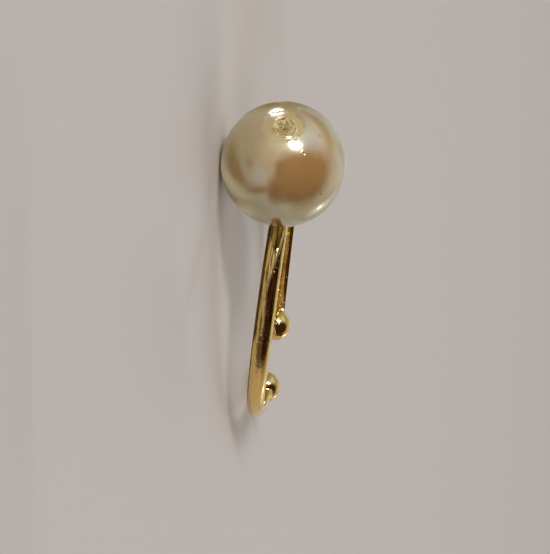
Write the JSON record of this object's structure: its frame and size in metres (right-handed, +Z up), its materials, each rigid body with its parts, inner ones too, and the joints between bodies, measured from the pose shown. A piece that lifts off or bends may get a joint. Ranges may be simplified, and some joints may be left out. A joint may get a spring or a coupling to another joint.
{
  "type": "pearl ring",
  "caption": "Open finger ring: a slim domed gold band with a ball on each end and a drilled imitation pearl standing on a peg, lying on its side.",
  "frame": {"origin": "on the ground under the middle of the ring's bounding box, with the ring lying on its side", "axes": "+Y from the ring's open gap towards the bead, +X across the finger hole, +Z up, which is 8.7 degrees off the finger's direction because the bead lifts its end of the ring"},
  "size_m": [0.0182, 0.0262, 0.008],
  "materials": {
    "gold": "mirror-polished yellow gold plating with fine wear",
    "pearl": "cream to champagne pearl lacquer, glossy"
  },
  "bodies": {
    "root": {"ring_shank": "gold", "pearl_bead": "pearl"}
  },
  "joints": []
}
